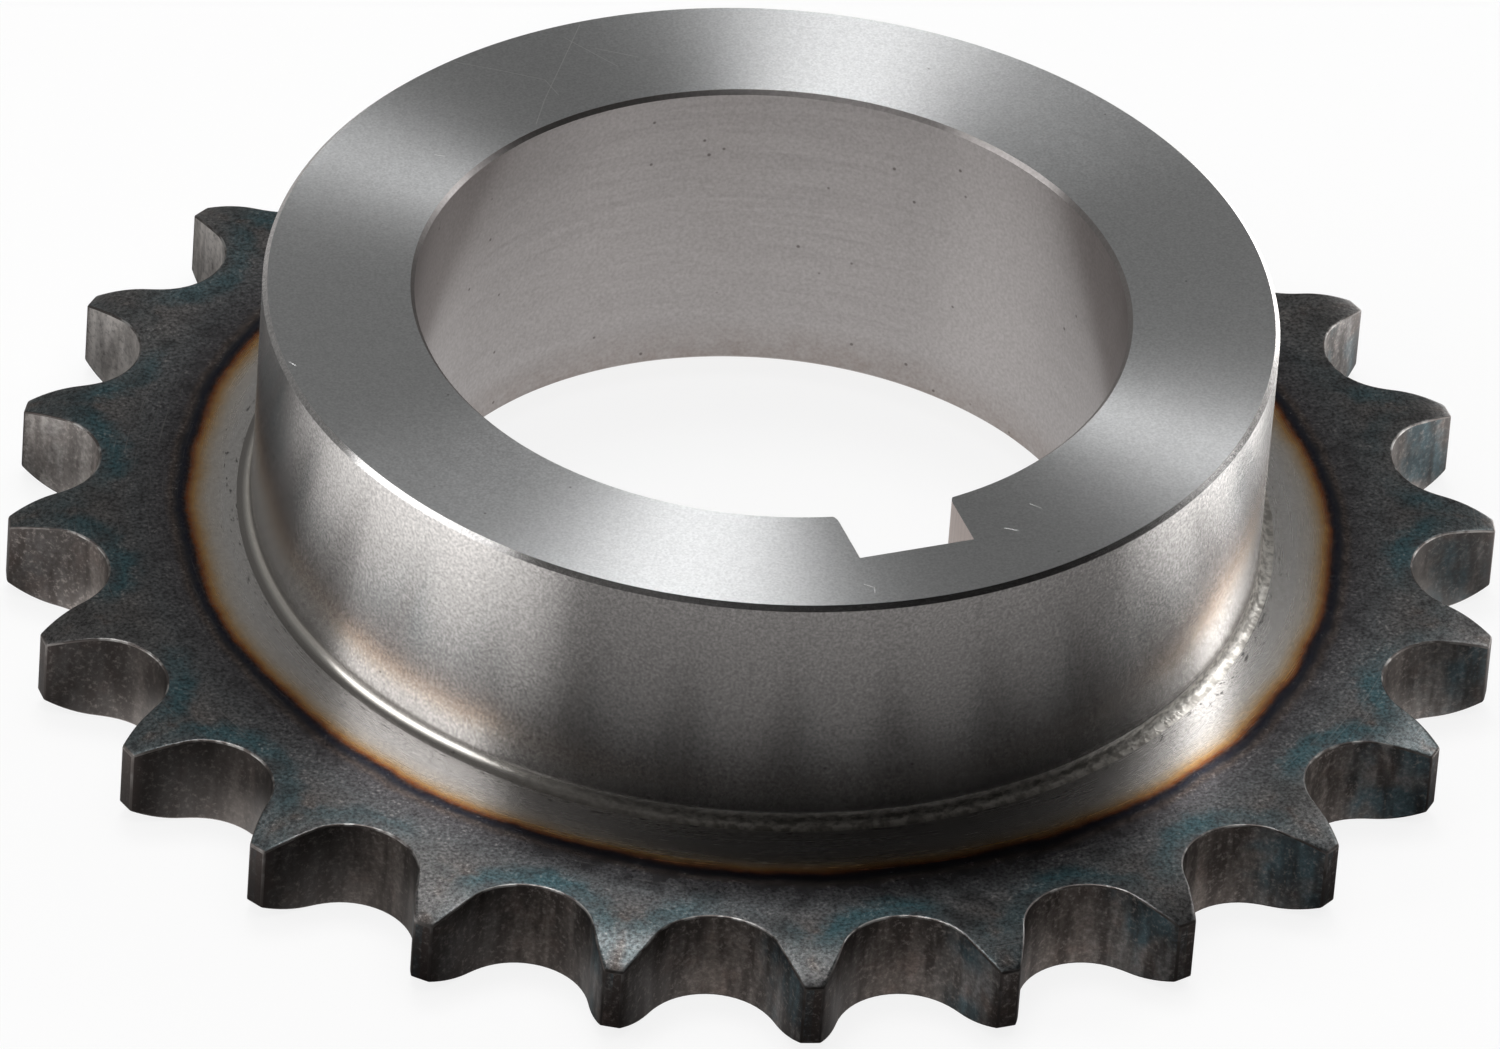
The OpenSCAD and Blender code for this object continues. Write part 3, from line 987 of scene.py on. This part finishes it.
# %% [markdown]
# On a photograph with a whitened background the metal still shows the table
# that it lay on, which was greyer. A grey card round the wheel gives it that
# table to reflect, as a painted reflection: a painted shadow darkens it close to
# the wheel, it is painted a little lighter between the teeth, and two pale zones
# at the left and the right are painted light. Only the metal sees the card.

# %% Grey card
CARD_NEAR, CARD_FAR = 50 * MM, 1200 * MM
DARK_FROM, DARK_TO = 60 * MM, 112 * MM
CARD_LIFT = 0.05 * MM
clear_selection()
bpy.ops.mesh.primitive_circle_add(vertices=96, radius=CARD_FAR, location=(0, 0, CARD_LIFT))
card = bpy.context.object
card.name = "grey_card"
bpy.ops.object.transform_apply(location=True, rotation=True, scale=True)
bpy.ops.object.mode_set(mode="EDIT")
bpy.ops.mesh.select_all(action="SELECT")
ring(card, CARD_NEAR, CARD_LIFT)
bpy.ops.mesh.select_all(action="SELECT")
bpy.ops.mesh.flip_normals()
bpy.ops.object.mode_set(mode="OBJECT")
card.data.materials.append(bpy.data.materials.new("grey_card"))
card.data.materials[0].use_nodes = True
tree = card.data.materials[0].node_tree
tree.nodes.clear()
spot = node(tree, "TexCoord").node.outputs["Object"]
way = node(tree, "VectorMath", [spot], operation="NORMALIZE")
far = node(tree, "VectorMath", [spot], operation="LENGTH").node.outputs["Value"]
pale_and_painted_light = 0.0
# Two pale zones at the left and the right, painted light
for azimuth, wide, bright in ((205, 36, 0.5), (25, 48, 1.0)):
    side = node(tree, "VectorMath", [way, tuple(towards(azimuth, 0))], operation="DOT_PRODUCT").node.outputs["Value"]
    side = node(tree, "MapRange", [side, cos(radians(wide)), cos(radians(12)), 0.0, bright])
    pale_and_painted_light = node(tree, "Math", [pale_and_painted_light, side], operation="MAXIMUM")
grey = node(tree, "Mix", [pale_and_painted_light, colour("#8f8d8c"), colour("#f4f2f0", 3.1)], data_type="RGBA")
# Dark close to the wheel, a painted shadow, painted a little lighter between the teeth
painted_shadow = node(tree, "MapRange", [far, DARK_FROM, DARK_TO, 0.96, 0.0])
painted_light_between_teeth = node(tree, "MapRange", [far, 57 * MM, 63 * MM, 0.2, 1.0])
painted_shadow = node(tree, "Math", [painted_shadow, painted_light_between_teeth], operation="MULTIPLY")
grey = node(tree, "Mix", [painted_shadow, grey, colour("#000000")], data_type="RGBA")
finish_material(tree, node(tree, "Emission", {"Color": grey, "Strength": 1.95}))
for ray in ("camera", "diffuse", "shadow", "transmission", "volume_scatter"):
    setattr(card, "visible_" + ray, False)
card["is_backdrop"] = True
print("card from", CARD_NEAR / MM, "to", CARD_FAR / MM, "mm")

# %% Studio round it
world = bpy.data.worlds.new("studio")
bpy.context.scene.world = world
world.use_nodes = True
tree = world.node_tree
tree.nodes.clear()
away = towards(125, 0)
spot = node(tree, "TexCoord").node.outputs["Generated"]
depth = node(tree, "VectorMath", [spot, tuple(away)], operation="DOT_PRODUCT").node.outputs["Value"]
depth = node(tree, "MapRange", {"Value": depth, "From Min": -1.0, "From Max": 1.0, "To Min": 0.0, "To Max": 1.0})
sky = node(tree, "ValToRGB", [depth], stops=[
    (0.0, colour("#050505")), (0.25, colour("#141414")), (0.5, colour("#5a5958")), (1.0, colour("#8a8a89"))])
node(tree, "OutputWorld", [node(tree, "Background", {"Color": sky, "Strength": 1.0})])
view = bpy.context.scene.view_settings
view.view_transform = "Standard"

# %% [markdown]
# Both boxes are printed, so that the imported size and the dressed size can be
# compared.

# %% Sizes, and the end
low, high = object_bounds()
print("dressed, mm:", [round((b - a) / MM, 2) for a, b in zip(low, high)])
